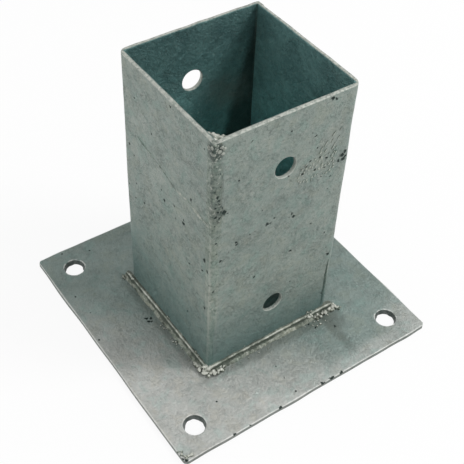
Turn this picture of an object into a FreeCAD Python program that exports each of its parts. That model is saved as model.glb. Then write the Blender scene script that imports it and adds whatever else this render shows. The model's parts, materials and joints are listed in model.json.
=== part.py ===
import FreeCAD, Part
import math
import os

# Bolt-down base for a square timber post, in millimetres, in hot-dip galvanised sheet steel.
# A flat square plate carries a square sleeve, open at the top, that is made of two equal bent angles.
# The angles meet corner to corner at the front and back corners, where a seam weld fills the open groove,
# and a fillet run ties the foot of each wall to the plate.
# Origin: middle of the plate's underside. +Z runs up the post, and the post bolts lie along X.

# Timber post and the room that it needs in the sleeve
post_size = 70.0
post_clearance = 1.0

# Base plate
plate_side = 150.0
plate_thickness = 3.0
plate_corner_radius = 1.2
plate_edge_bevel = 0.5
anchor_hole_dia = 11.0
anchor_edge_distance = 15.0
hole_lip_bevel = 0.3

# Sleeve, bent from sheet
total_height = 150.0
sheet_thickness = 2.0
bend_inner_radius = 2.0
rim_round = 0.4
post_bolt_hole_dia = 11.0
upper_bolt_below_rim = 30.0
lower_bolt_above_plate = 29.0

# Seam welds in the open corners of the sleeve
seam_root_gap = 0.6
seam_penetration = 1.6
seam_lap = 0.7
seam_corner_inset = 0.2
seam_scale_pitch = 4.0
seam_ripple = 0.06
seam_blob_reach = 1.6
seam_blob_crown = 0.6
seam_blob_height = 10.0
rim_plug_long_leg = 6.2
rim_plug_short_leg = 4.4
rim_plug_depth = 3.5
rim_plug_foot_share = 0.3
rim_plug_tie = 0.8

# Fillet welds round the foot of the sleeve
foot_weld_leg = 3.6
foot_weld_bulge = 0.7
foot_weld_behind = 2.0
foot_scale_pitch = 3.0
foot_ripple = 0.06
front_run_overrun = 3.3
right_run_overrun = 4.5
end_lump_growth = 0.25
end_taper = 0.4
hidden_run_inset = 4.0

# Share of a weld scale's length over which it narrows before the next one laps it
scale_lap = 0.85

# Flats that stand for the rounded face of a weld
weld_face_flats = 5

# Length of the round cutters, which pass through one sheet but never reach the wall across the sleeve
cutter_length = 20.0

# Two lengths closer than this are the same
tolerance = 1e-6

# Sizes that follow from the ones above
sleeve_inside = post_size + post_clearance
sleeve_outside = sleeve_inside + 2 * sheet_thickness
half_sleeve = sleeve_outside / 2
half_plate = plate_side / 2
bend_outer_radius = bend_inner_radius + sheet_thickness
seam_root = sheet_thickness + seam_root_gap / 2
seam_reach = seam_root + seam_lap
flange_end = half_sleeve - seam_root
anchor_spacing = plate_side - 2 * anchor_edge_distance
upper_bolt_height = total_height - upper_bolt_below_rim
lower_bolt_height = plate_thickness + lower_bolt_above_plate
sleeve_height = total_height - plate_thickness


def vec(x, y, z=0.0):
    return FreeCAD.Vector(x, y, z)


def cutter(diameter, centre, direction):
    """A round cutter centred on a point, long enough to pass right through."""
    start = centre - direction * (cutter_length / 2)
    return Part.makeCylinder(diameter / 2, cutter_length, start, direction)


def half_turn(shape):
    """The same shape turned half round the post's axis."""
    turned = shape.copy()
    turned.rotate(vec(0, 0), vec(0, 0, 1), 180)
    return turned


def edges_at_height(shape, height):
    """Edges that lie flat at one height."""
    flat = []
    for edge in shape.Edges:
        box = edge.BoundBox
        if abs(box.ZMin - height) < tolerance and abs(box.ZMax - height) < tolerance:
            flat.append(edge)
    return flat


def bevel_lips(shape, diameter, axis):
    """Small bevels on both ends of the round holes that run along one axis."""
    lips = []
    for edge in shape.Edges:
        if not isinstance(edge.Curve, Part.Circle):
            continue
        along_axis = edge.Curve.Axis.cross(axis).Length < tolerance
        if along_axis and abs(edge.Curve.Radius - diameter / 2) < tolerance:
            lips.append(edge)
    return shape.makeChamfer(hole_lip_bevel, lips)


def make_base_plate():
    blank = Part.makeBox(plate_side, plate_side, plate_thickness, vec(-half_plate, -half_plate, 0))
    corners = [e for e in blank.Edges if e.BoundBox.ZLength > plate_thickness / 2]
    plate = blank.makeFillet(plate_corner_radius, corners)
    rims = edges_at_height(plate, plate_thickness) + edges_at_height(plate, 0)
    plate = plate.makeChamfer(plate_edge_bevel, rims)
    for x_side in (-1, 1):
        for y_side in (-1, 1):
            centre = vec(x_side * anchor_spacing / 2, y_side * anchor_spacing / 2, plate_thickness / 2)
            plate = plate.cut(cutter(anchor_hole_dia, centre, vec(0, 0, 1)))
    return bevel_lips(plate, anchor_hole_dia, vec(0, 0, 1))


def angle_outline():
    """L section of the bent sheet, with its bend at the -X -Y corner."""
    outer = -half_sleeve
    inner = -half_sleeve + sheet_thickness
    bend = -half_sleeve + bend_outer_radius
    outer_mid = bend - bend_outer_radius * math.sqrt(0.5)
    inner_mid = bend - bend_inner_radius * math.sqrt(0.5)
    edges = [
        Part.makeLine(vec(flange_end, outer), vec(bend, outer)),
        Part.Arc(vec(bend, outer), vec(outer_mid, outer_mid), vec(outer, bend)).toShape(),
        Part.makeLine(vec(outer, bend), vec(outer, flange_end)),
        Part.makeLine(vec(outer, flange_end), vec(inner, flange_end)),
        Part.makeLine(vec(inner, flange_end), vec(inner, bend)),
        Part.Arc(vec(inner, bend), vec(inner_mid, inner_mid), vec(bend, inner)).toShape(),
        Part.makeLine(vec(bend, inner), vec(flange_end, inner)),
        Part.makeLine(vec(flange_end, inner), vec(flange_end, outer)),
    ]
    return Part.Face(Part.Wire(edges))


def make_sleeve_angle():
    """The bent angle on the -X and -Y sides, with two post bolt holes in its -X wall."""
    section = angle_outline()
    section.translate(vec(0, 0, plate_thickness))
    angle = section.extrude(vec(0, 0, sleeve_height))
    angle = angle.makeFillet(rim_round, edges_at_height(angle, total_height))
    wall_middle = -half_sleeve + sheet_thickness / 2
    for height in (lower_bolt_height, upper_bolt_height):
        centre = vec(wall_middle, 0, height)
        angle = angle.cut(cutter(post_bolt_hole_dia, centre, vec(1, 0, 0)))
    return bevel_lips(angle, post_bolt_hole_dia, vec(1, 0, 0))


def scale_stations(start, end, pitch):
    """Distances along a run where its section is set, with each weld scale's ripple from -1 to 1."""
    count = max(2, round((end - start) / pitch))
    step = (end - start) / count
    stations = []
    for index in range(count):
        stations.append((start + index * step, 1.0))
        stations.append((start + (index + scale_lap) * step, -1.0))
    stations.append((end, -1.0))
    return stations


def seam_section(height, reach, corner_inset):
    """Weld metal in the open corner at +X -Y: a filled root and a rounded crown over both sheets."""
    corner_x = half_sleeve
    corner_y = -half_sleeve

    def at(along_front, along_right):
        return vec(corner_x - along_front, corner_y + along_right, height)

    crown = Part.Arc(at(reach, 0), at(corner_inset, corner_inset), at(0, reach))
    filled_root = [
        at(0, seam_root),
        at(seam_penetration, seam_root),
        at(seam_root, seam_penetration),
        at(seam_root, 0),
    ]
    points = crown.discretize(weld_face_flats + 1) + filled_root
    return Part.makePolygon(points + points[:1])


def make_seam_weld(blob):
    """Seam weld of the +X -Y corner, with a blob of metal under the rim where blob is 1."""
    sections = []
    for height, ripple in scale_stations(plate_thickness, total_height, seam_scale_pitch):
        below_rim = total_height - height
        bump = blob * math.exp(-((below_rim - seam_blob_height / 2) / (seam_blob_height / 2)) ** 2)
        reach = seam_reach * (1 + seam_ripple * ripple) + seam_blob_reach * bump
        inset = seam_corner_inset - seam_blob_crown * bump
        sections.append(seam_section(height, reach, inset))
    return Part.makeLoft(sections, True, True)


def make_rim_plug(left_angle, right_angle):
    """Metal that has run through the seam and bridges the inner corner of the sleeve at the rim."""

    def corner_triangle(height, share):
        corner_x = half_sleeve
        corner_y = -half_sleeve
        long_end = sheet_thickness + rim_plug_long_leg * share
        short_end = sheet_thickness + rim_plug_short_leg * share
        points = [
            vec(corner_x - rim_plug_tie, corner_y + rim_plug_tie, height),
            vec(corner_x - long_end, corner_y + sheet_thickness, height),
            vec(corner_x - sheet_thickness, corner_y + short_end, height),
        ]
        return Part.makePolygon(points + points[:1])

    lower = corner_triangle(total_height - rim_plug_depth, rim_plug_foot_share)
    upper = corner_triangle(total_height - rim_round, 1.0)
    wedge = Part.makeLoft([lower, upper], True, True)
    return wedge.cut(left_angle).cut(right_angle)


def foot_section(distance, leg, place):
    """Fillet across a wall's foot: flat on the wall and the plate, with a rounded face between them."""
    middle = leg / 2 + foot_weld_bulge * math.sqrt(0.5)
    face = Part.Arc(place(distance, leg, 0), place(distance, middle, middle), place(distance, 0, leg))
    behind = [place(distance, -foot_weld_behind, leg), place(distance, -foot_weld_behind, 0)]
    points = face.discretize(weld_face_flats + 1) + behind
    return Part.makePolygon(points + points[:1])


def front_wall(distance, out, up):
    """A place beside the foot of the -Y wall, with distance along +X."""
    return vec(distance, -half_sleeve - out, plate_thickness + up)


def right_wall(distance, out, up):
    """A place beside the foot of the +X wall, with distance along +Y."""
    return vec(half_sleeve + out, distance, plate_thickness + up)


def make_foot_weld(place, start, end, lump_at):
    """A rippled fillet run that tapers at both ends and swells towards one place on it."""
    sections = []
    for distance, ripple in scale_stations(start, end, foot_scale_pitch):
        nearest_end = min(distance - start, end - distance)
        taper = 1 - end_taper * (1 - min(1.0, nearest_end / foot_weld_leg))
        swell = end_lump_growth * math.exp(-((distance - lump_at) / foot_weld_leg) ** 2)
        leg = foot_weld_leg * taper * (1 + foot_ripple * ripple + swell)
        sections.append(foot_section(distance, leg, place))
    return Part.makeLoft(sections, True, True)


def seat_against(weld, neighbours):
    """Trims a run so that it lies face to face with what it is laid on."""
    for other in neighbours:
        weld = weld.cut(other)
    weld = weld.removeSplitter()
    return max(weld.Solids, key=lambda solid: solid.Volume)


base_plate = make_base_plate()
sleeve_angle_left = make_sleeve_angle()
sleeve_angle_right = half_turn(sleeve_angle_left)
angles = [sleeve_angle_left, sleeve_angle_right]

rim_plug = make_rim_plug(sleeve_angle_left, sleeve_angle_right)
seam_weld_front = seat_against(make_seam_weld(1).fuse(rim_plug), angles)
seam_weld_back = seat_against(half_turn(make_seam_weld(0)), angles)
sleeve = angles + [seam_weld_front, seam_weld_back]

front_run = make_foot_weld(front_wall, -half_sleeve - front_run_overrun, half_sleeve + foot_weld_leg, half_sleeve)
foot_weld_front = seat_against(front_run, sleeve)
right_end = half_sleeve + right_run_overrun
right_run = make_foot_weld(right_wall, -half_sleeve - foot_weld_leg, right_end, right_end - foot_weld_leg)
foot_weld_right = seat_against(right_run, sleeve + [foot_weld_front])

hidden_end = half_sleeve - hidden_run_inset
back_run = half_turn(make_foot_weld(front_wall, -hidden_end, hidden_end, hidden_end))
foot_weld_back = seat_against(back_run, sleeve + [foot_weld_right])
left_run = half_turn(make_foot_weld(right_wall, -hidden_end, hidden_end, -hidden_end))
foot_weld_left = seat_against(left_run, sleeve + [foot_weld_front, foot_weld_back])

parts = {
    "base_plate": base_plate,
    "sleeve_angle_left": sleeve_angle_left,
    "sleeve_angle_right": sleeve_angle_right,
    "seam_weld_front": seam_weld_front,
    "seam_weld_back": seam_weld_back,
    "foot_weld_front": foot_weld_front,
    "foot_weld_right": foot_weld_right,
    "foot_weld_back": foot_weld_back,
    "foot_weld_left": foot_weld_left,
}

os.makedirs("parts", exist_ok=True)
for name, shape in parts.items():
    shape.exportStep("parts/" + name + ".step")
    print(name, "volume", round(shape.Volume, 1), "solids", len(shape.Solids), "valid", shape.isValid())
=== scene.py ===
import json
import math

import bmesh
import bpy
import numpy as np
from mathutils import Matrix, Vector


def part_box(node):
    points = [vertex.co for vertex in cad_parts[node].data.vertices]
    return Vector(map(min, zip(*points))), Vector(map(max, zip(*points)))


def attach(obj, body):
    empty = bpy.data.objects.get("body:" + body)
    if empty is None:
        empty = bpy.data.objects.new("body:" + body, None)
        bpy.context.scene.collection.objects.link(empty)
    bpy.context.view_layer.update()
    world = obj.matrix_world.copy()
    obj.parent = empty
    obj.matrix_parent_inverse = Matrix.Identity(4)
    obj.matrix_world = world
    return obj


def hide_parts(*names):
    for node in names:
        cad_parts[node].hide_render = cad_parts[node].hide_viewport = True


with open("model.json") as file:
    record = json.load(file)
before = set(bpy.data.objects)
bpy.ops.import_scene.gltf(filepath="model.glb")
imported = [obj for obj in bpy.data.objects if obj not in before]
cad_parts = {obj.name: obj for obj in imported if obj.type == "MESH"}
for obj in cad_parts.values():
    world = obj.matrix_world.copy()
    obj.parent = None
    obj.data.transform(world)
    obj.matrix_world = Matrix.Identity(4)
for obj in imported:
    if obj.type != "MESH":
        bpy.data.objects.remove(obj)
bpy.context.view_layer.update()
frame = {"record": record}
mm = 0.001

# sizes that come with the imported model
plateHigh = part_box("base_plate")[1]
sleeveLow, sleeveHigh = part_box("sleeve_angle_left")
plateHalf = plateHigh.x
plateTop = plateHigh.z
rimTop = sleeveHigh.z
wallFace = -sleeveLow.x
wallEdge = wallFace / mm
flangeEnd = sleeveHigh.x
mounts = {mount["name"]: mount for mount in frame["record"]["mounts"]}
boltRadius = mounts["upper_post_bolt"]["dims"]["r_mm"] * mm
boltHeights = [mounts[name]["pos_m"][2] for name in ("lower_post_bolt", "upper_post_bolt")]
anchorRadius = mounts["anchor_bolts"]["dims"]["hole_r_mm"] * mm
anchorOut = mounts["anchor_bolts"]["dims"]["spacing_x_mm"] * mm / 2


def addNode(tree, kind, inputs=None, **settings):
    made = tree.nodes.new(kind)
    for name, value in settings.items():
        setattr(made, name, value)
    for name, value in (inputs or {}).items():
        if isinstance(value, bpy.types.NodeSocket):
            tree.links.new(value, made.inputs[name])
        else:
            made.inputs[name].default_value = value
    return made


def calc(tree, operation, first, second=0.0, third=0.0):
    return addNode(tree, "ShaderNodeMath", {0: first, 1: second, 2: third}, operation=operation).outputs[0]


def times(tree, first, second):
    return calc(tree, "MULTIPLY", first, second)


def vectorMath(tree, operation, first, second=(0, 0, 0), scale=1.0):
    return addNode(tree, "ShaderNodeVectorMath", {0: first, 1: second, 3: scale}, operation=operation).outputs


def farFrom(tree, x, y):
    # distance from the axis where both are 0
    flat = addNode(tree, "ShaderNodeCombineXYZ", {"X": x, "Y": y}).outputs[0]
    return vectorMath(tree, "LENGTH", flat)["Value"]


def spread(tree, value, low, high, toLow=0.0, toHigh=1.0, blend="SMOOTHSTEP"):
    sizes = {"Value": value, "From Min": low, "From Max": high, "To Min": toLow, "To Max": toHigh}
    return addNode(tree, "ShaderNodeMapRange", sizes, interpolation_type=blend).outputs[0]


def mixColour(tree, amount, first, second, mode="MIX"):
    mixer = addNode(tree, "ShaderNodeMix", {0: amount}, data_type="RGBA", blend_type=mode)
    for slot, colour in ((6, first), (7, second)):
        if isinstance(colour, bpy.types.NodeSocket):
            tree.links.new(colour, mixer.inputs[slot])
        else:
            mixer.inputs[slot].default_value = (*colour, 1.0)
    return mixer.outputs[2]


def cloud(tree, where, size, detail=3.0, roughness=0.55, twist=0.0):
    grain = {"Vector": where, "Scale": 1.0 / size, "Detail": detail, "Roughness": roughness,
             "Distortion": twist}
    return addNode(tree, "ShaderNodeTexNoise", grain).outputs["Fac"]


def stretched(tree, where, scale, turn=(0.0, 0.0, 0.0)):
    return addNode(tree, "ShaderNodeMapping", {"Vector": where, "Scale": scale, "Rotation": turn}).outputs[0]


def addObject(name, data):
    made = bpy.data.objects.new(name, data)
    bpy.context.scene.collection.objects.link(made)
    return made


# sizes of the pattern in every zinc finish
pattern = {
    "cloud": 38 * mm,
    "mottle": 6 * mm,
    "stroke": 1.4 * mm,
    "grain": 1.15 * mm,
    "wrinkle": 4.2 * mm,
    "wrinklePatch": 9 * mm,
    "hue": 8 * mm,
    "pinholeCell": 8 * mm,
    "ragged": 1.6 * mm,         # how fine the torn edges of the spots are
    "raggedReach": 2.4 * mm,
    "relief": 3.2 * mm,
    "reliefDepth": 0.8 * mm,
    "shine": 5 * mm,
    "greener": (0.93, 1.01, 1.00),      # tints that the hue wanders between
    "yellower": (1.02, 1.00, 0.965),
}


plateZinc = {
    "clean": (0.520, 0.530, 0.508),
    "dull": (0.440, 0.452, 0.430),
    "warm": (0.600, 0.595, 0.562),
    "fleckAndShade": (0.310, 0.328, 0.306),
    "pit": (0.016, 0.030, 0.026),
    "pitSize": 1.0,
    # colour of the painted highlights round the anchor holes and along the top edge
    "rim": (0.70, 0.71, 0.68),
    "metallic": 0.4,
    "roughness": (0.42, 0.60),
    "bump": 0.75,
    "dark": (0.45, 0.55, 0.535),     # tint of the painted shade away from the near corner
    # darkens the darker patches, and gives the painted shade on the plate's sides
    "darkTone": (0.105, 0.125, 0.108),
    "wall": (0.050, 0.068, 0.062),   # painted shade on the walls of the anchor holes
    # the painted light lies beyond two lines, each a point, a direction and a softness, and
    # in the back right corner and along the right edge
    "bright": [((-2, -55, 3), (0.73, -0.69, 0), 28), ((50, 17, 3), (0.15, -0.99, 0), 13)],
    "brightCorner": ((77, 77, 3), (22, 22, 40)),
    "brightEdge": ((67.5, 0, 3), (1, 0, 0), 4),
    # middle, half size and strength of each darker patch: one past the sleeve's back right corner,
    # and bands along the front and right foot welds
    "darkPatches": [(53, 32.5, 13, 3.2, 0.5), (47, 36, 5, 6, 0.5), (0, -41.5, 40, 2.6, 0.45),
               (42, 0, 3.2, 42, 0.5)],
    # place and radius of each pit
    "pits": [(-8.1, -45.6, 3, 0.75), (-6.0, -45.6, 3, 0.8), (-6.9, -43.6, 3, 0.7), (-4.9, -44.3, 3, 0.75),
             (49.7, 33.8, 3, 0.6), (45.0, 24.6, 3, 0.6), (41.1, 23.0, 3, 0.5), (62, -8, 3, 0.35),
             (74.7, 6, 2.7, 0.9), (74.7, 7.4, 2.7, 0.5), (74.6, 11.6, 2.7, 1.0), (74.7, 12.9, 2.7, 0.5),
             (74.7, 17.9, 2.7, 0.8), (74.7, -20, 2.7, 0.8), (74.7, -38, 2.7, 0.7), (74.7, -47, 2.7, 0.8),
             (74, -73.6, 2.8, 0.7), (72.6, -74.6, 2.7, 0.6)],
}


def onWalls(front, right):
    # spots on the front wall and the right wall, each along it, up it and its radius
    spots = [(x, -wallEdge, z, size) for x, z, size in front]
    return spots + [(wallEdge, y, z, size) for y, z, size in right]


sheetZinc = {
    "clean": (0.250, 0.300, 0.268),
    "dull": (0.212, 0.260, 0.234),
    "warm": (0.350, 0.365, 0.330),
    "fleckAndShade": (0.060, 0.090, 0.080),
    # also the colour of the painted shade spots and the painted shadow wedge
    "pit": (0.014, 0.028, 0.024),
    "pitSize": 1.15,
    # middle, half width, half height and strength of each painted shade: the dark ground round
    # the weld's lumps and along the seam
    "shadows": [(36.6, -36.6, 145.2, 3.8, 5.2, 0.75), (37.5, -35.5, 129, 2.6, 9.0, 0.28),
                (37.5, -35.0, 112, 3.0, 8.5, 0.38), (37.5, -33.0, 109.5, 3.0, 2.2, 0.3),
                (36.4, -37.5, 124, 0.8, 16, 0.35), (37.5, -32.8, 125, 0.7, 9, 0.3),
                (37.5, -34.6, 98, 2.0, 3.5, 0.2)],
    # the same for the painted highlights, mostly down the near corner
    "lights": [(36.6, -37.5, 46, 0.9, 44, 0.6), (37.5, -33.6, 40, 0.7, 34, 0.3),
               (34.4, -37.5, 60, 0.8, 22, 0.3), (37.5, 17, 113, 9, 5, 0.2), (37.5, 25, 127, 5, 6, 0.25)],
    # colour of the painted highlight on the rim and in the bolt holes
    "rim": (0.50, 0.52, 0.47),
    "metallic": 0.4,
    "roughness": (0.40, 0.58),
    "bump": 1.0,
    # painted shade towards the foot of the walls and inside the sleeve, and a painted shadow wedge
    "foot": (0.096, 0.180, 0.174),
    "inside": (0.106, 0.212, 0.206),
    "insideDull": (0.074, 0.158, 0.156),
    "wedge": ((-35.5, 37.5, 150), (0, 1, -0.27), 3.2),
    "footTop": 52,          # height where the painted shade at the foot begins, at the near corner
    "footSlope": -0.28,     # change per mm round the sleeve
    "footFull": 6,
    "pits": onWalls([
        (-0.7, 89.5, 0.8), (8.0, 93, 0.6), (8.6, 86, 0.5), (15.5, 88, 0.8), (15.2, 90, 0.5),
        (-19.5, 72.6, 0.6), (-27.6, 70, 0.5), (20.5, 66, 0.7), (33.6, 47.6, 0.6), (19.0, 31, 0.6),
        (5.5, 147, 0.6), (21.2, 107.3, 0.7), (32.4, 79, 0.9), (30.5, 71, 0.6), (35, 74, 0.6),
        (-31, 101.5, 0.6), (36.2, 66, 0.4),
    ], [
        (-31.4, 109.8, 1.0), (-29.2, 108.2, 0.5), (-32.6, 112.6, 0.5), (-32.6, 80.5, 0.6),
        (31.7, 112.5, 1.1), (33.4, 114, 0.9), (34.5, 111, 0.8), (7.4, 87, 0.8), (6.2, 89.5, 0.6),
        (-24.5, 88, 0.7), (-24.2, 86.4, 0.5), (-7.6, 90.4, 0.7), (-5.8, 90.0, 0.5), (8, 64, 0.6),
        (-12.6, 58, 0.6), (32.4, 48, 0.7), (21.8, 148, 0.8), (24, 147, 0.6), (-17, 89, 0.35),
        (-14.5, 89.4, 0.35), (26, 95, 0.4), (-19, 143, 0.45), (15, 131, 0.5), (28, 92, 0.4),
        (11.6, 115.4, 0.5), (16.6, 111.2, 0.6), (9.9, 111.8, 0.5), (18.6, 117.5, 0.45),
        (22.7, 115.2, 0.5), (22.1, 109.7, 0.45), (13.4, 117.4, 0.45), (20.9, 105, 0.4),
        (26.3, 102.4, 0.4), (12.8, 133.3, 0.45), (29.9, 110, 0.7), (33.0, 110, 0.9),
    ]),
}
seamZinc = dict(sheetZinc)
seamZinc.update({
    "pits": sheetZinc["pits"] + onWalls([], [
        (-36, 137, 0.4), (-34.4, 133, 0.4), (-35.6, 128.5, 0.4), (-35.4, 120.4, 0.7),
        (-34.6, 118.2, 0.45), (-36.3, 114.5, 0.5), (-35.0, 112.2, 0.6), (-33.4, 110.9, 0.55),
        (-33.9, 107.7, 0.5), (-35.8, 109.2, 0.5), (-34.6, 105.6, 0.4), (-36.1, 104, 0.4),
        (-36.4, 124, 0.5), (-34.2, 115.6, 0.45), (-35.7, 117, 0.4), (-34.0, 125.5, 0.35),
        (-35.2, 93, 0.5), (-34.8, 86, 0.4), (-36, 62, 0.5),
    ]),
    "clean": (0.215, 0.262, 0.225),
    "dull": (0.160, 0.205, 0.172),
    "warm": (0.42, 0.44, 0.39),
    "fleckAndShade": (0.050, 0.080, 0.064),
    "roughness": (0.36, 0.55),
    "bump": 0.8,
})
weldZinc = {
    "clean": (0.215, 0.240, 0.195),
    "dull": (0.150, 0.175, 0.138),
    "warm": (0.62, 0.63, 0.57),
    "fleckAndShade": (0.040, 0.055, 0.040),
    "pit": (0.016, 0.024, 0.018),
    "metallic": 0.3,
    "roughness": (0.38, 0.56),
    "bump": 0.7,
}


def zincBase(tree, where, walls, look):
    # broad clouds, a finer mottle, slanting strokes and a short grain, as the zinc froze
    clouds = spread(tree, cloud(tree, where, pattern["cloud"], 3, 0.6), 0.36, 0.64)
    mottle = spread(tree, cloud(tree, where, pattern["mottle"], 5, 0.65, 0.8), 0.42, 0.66)
    slanting = stretched(tree, walls, (0.5, 1.0, 1.0), (0, 0, 0.75))
    strokes = cloud(tree, slanting, pattern["stroke"], 3, 0.65, 1.4)
    grain = cloud(tree, where, pattern["grain"], 4, 0.75)
    # thin wandering wrinkles, in patches
    level = cloud(tree, where, pattern["wrinkle"], 3, 0.55, 1.6)
    level = calc(tree, "ABSOLUTE", calc(tree, "SUBTRACT", level, 0.5))
    elsewhere = stretched(tree, where, (1, 1, 1), (0.4, 0.9, 0.2))
    patches = spread(tree, cloud(tree, elsewhere, pattern["wrinklePatch"], 2, 0.5), 0.42, 0.58)
    wrinkle = times(tree, spread(tree, level, 0.030, 0.006), patches)
    colour = mixColour(tree, clouds, look["clean"], look["dull"])
    colour = mixColour(tree, times(tree, mottle, 0.24), colour, look["warm"])
    for texture, low, high, share, tint in (
            (strokes, 0.54, 0.72, 0.38, "fleckAndShade"), (strokes, 0.46, 0.30, 0.35, "warm"),
            (grain, 0.53, 0.70, 0.56, "fleckAndShade"), (grain, 0.47, 0.30, 0.50, "warm")):
        colour = mixColour(tree, spread(tree, texture, low, high, 0.0, share), colour, look[tint])
    hue = cloud(tree, where, pattern["hue"], 3, 0.6, 0.5)
    colour = mixColour(tree, spread(tree, hue, 0.50, 0.66), colour, pattern["greener"], "MULTIPLY")
    colour = mixColour(tree, spread(tree, hue, 0.48, 0.34), colour, pattern["yellower"], "MULTIPLY")
    colour = mixColour(tree, times(tree, wrinkle, 0.28), colour, look["fleckAndShade"])
    relief = calc(tree, "MULTIPLY_ADD", strokes, 0.5, grain)
    return colour, grain, calc(tree, "MULTIPLY_ADD", wrinkle, -0.45, relief)


def beyond(tree, where, through, towards, soft):
    # 0 on the near side of a line across the part, 1 on the side that it faces
    away = vectorMath(tree, "SUBTRACT", where, [c * mm for c in through])[0]
    far = vectorMath(tree, "DOT_PRODUCT", away, Vector(towards).normalized())["Value"]
    return spread(tree, far, -soft * mm, soft * mm)


def patch(tree, where, middle, half, edge=0.55):
    # a soft spot, 1 in its middle
    away = vectorMath(tree, "SUBTRACT", where, [c * mm for c in middle])[0]
    away = vectorMath(tree, "MULTIPLY", away, [1 / (h * mm) for h in half])[0]
    return spread(tree, vectorMath(tree, "LENGTH", away)["Value"], 1 + edge, 1 - edge)


def bendPlaces(tree, where):
    # places shifted to and fro, for spots with torn edges
    noise = addNode(tree, "ShaderNodeTexNoise", {
        "Vector": where, "Scale": 1 / pattern["ragged"], "Detail": 2.0})
    shift = vectorMath(tree, "SUBTRACT", noise.outputs["Color"], (0.5, 0.5, 0.5))[0]
    shift = vectorMath(tree, "SCALE", shift, scale=pattern["raggedReach"])[0]
    return vectorMath(tree, "ADD", where, shift)[0]


def findPits(tree, where, bent, look):
    # small pinholes, only in some of the cells, and the larger pits
    cells = addNode(tree, "ShaderNodeTexVoronoi", {"Vector": where, "Scale": 1.0 / pattern["pinholeCell"]},
                    feature="F1")
    parts = addNode(tree, "ShaderNodeSeparateColor", {"Color": cells.outputs["Color"]})
    chosen = calc(tree, "GREATER_THAN", parts.outputs[0], 0.6)
    pit = times(tree, spread(tree, cells.outputs["Distance"], 0.085, 0.035), chosen)
    for x, y, z, radius in look.get("pits", []):
        size = radius * look["pitSize"]
        pit = calc(tree, "MAXIMUM", pit, patch(tree, bent, (x, y, z), (size, size, size), 0.28))
    return pit


def fromMiddle(tree, axes):
    return calc(tree, "MAXIMUM", calc(tree, "ABSOLUTE", axes["X"]), calc(tree, "ABSOLUTE", axes["Y"]))


def coatPlate(tree, look, colour, where, bent, axes, pit):
    # painted light near the near corner, in the back right corner and along the right edge,
    # and painted shade, darker and greener, elsewhere
    near = times(tree, *[beyond(tree, bent, *line) for line in look["bright"]])
    near = calc(tree, "MAXIMUM", near, times(tree, patch(tree, bent, *look["brightCorner"]), 0.7))
    near = calc(tree, "MAXIMUM", near, times(tree, beyond(tree, bent, *look["brightEdge"]), 0.6))
    inShade = mixColour(tree, 1.0, colour, look["dark"], "MULTIPLY")
    colour = mixColour(tree, near, inShade, colour)
    # darker patches past the back right corner and along the foot welds
    for x, y, wide, deep, strength in look["darkPatches"]:
        spot = times(tree, patch(tree, bent, (x, y, 3), (wide, deep, 9)), strength)
        colour = mixColour(tree, spot, colour, look["darkTone"])
    # painted shade on the sides, below a painted highlight along the top edge
    side = spread(tree, axes["Z"], plateTop - 0.35 * mm, plateTop - 0.6 * mm, 0.0, 0.75)
    edgeHighlight = times(tree, spread(tree, fromMiddle(tree, axes), plateHalf - 0.75 * mm, plateHalf - 0.45 * mm),
                 spread(tree, axes["Z"], plateTop - 0.55 * mm, plateTop - 0.4 * mm, 0.0, 0.7))
    colour = mixColour(tree, side, colour, look["darkTone"])
    # a painted highlight ring round each anchor hole, and painted shade on the walls in it
    offX = calc(tree, "SUBTRACT", calc(tree, "ABSOLUTE", axes["X"]), anchorOut)
    offY = calc(tree, "SUBTRACT", calc(tree, "ABSOLUTE", axes["Y"]), anchorOut)
    far = farFrom(tree, offX, offY)
    ring = times(tree, spread(tree, far, anchorRadius + 0.75 * mm, anchorRadius + 0.45 * mm),
                 spread(tree, cloud(tree, where, 2.5 * mm, 2), 0.42, 0.60, 0.0, 0.7))
    below = spread(tree, axes["Z"], plateTop - 0.25 * mm, plateTop - 0.45 * mm)
    wall = times(tree, spread(tree, far, anchorRadius + 0.2 * mm, anchorRadius + 0.05 * mm), below)
    colour = mixColour(tree, ring, colour, look["rim"])
    colour = mixColour(tree, times(tree, wall, 0.85), colour, look["wall"])
    colour = mixColour(tree, edgeHighlight, colour, look["rim"])
    return mixColour(tree, times(tree, pit, 0.95), colour, look["pit"])


def coatWeld(tree, look, colour):
    # painted shade in the grooves and painted highlight on the ridges
    shade = addNode(tree, "ShaderNodeAttribute", attribute_name="shade").outputs["Fac"]
    colour = mixColour(tree, spread(tree, shade, 0.42, 0.02, 0.0, 0.85), colour, look["fleckAndShade"])
    return mixColour(tree, spread(tree, shade, 0.60, 1.10, 0.0, 0.85), colour, look["warm"])


def coatInside(tree, look, where, bent, axes, grain):
    # painted shade inside the sleeve, dark and dull, in patches
    patches = spread(tree, cloud(tree, where, 12 * mm, 6, 0.7, 0.6), 0.38, 0.62)
    dark = mixColour(tree, patches, look["inside"], look["insideDull"])
    dark = mixColour(tree, spread(tree, grain, 0.50, 0.70, 0.0, 0.5), dark, look["fleckAndShade"])
    dark = mixColour(tree, spread(tree, grain, 0.46, 0.32, 0.0, 0.35), dark, look["clean"])
    # a painted shadow: a narrow dark wedge that widens down from the far corner of the rim
    wedge = times(tree, beyond(tree, bent, *look["wedge"]), spread(tree, axes["X"], -34.7 * mm, -35.1 * mm))
    dark = mixColour(tree, times(tree, wedge, 0.88), dark, look["pit"])
    # painted light: lighter deeper down, and a little lighter on the back wall
    lift = times(tree, spread(tree, axes["Z"], rimTop, 0.06, 1.0, 3.2),
                 spread(tree, axes["Y"], 35.0 * mm, 35.3 * mm, 1.0, 1.35))
    tone = addNode(tree, "ShaderNodeCombineColor", {0: lift, 1: lift, 2: lift}).outputs[0]
    return mixColour(tree, 1.0, dark, tone, "MULTIPLY")


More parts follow.
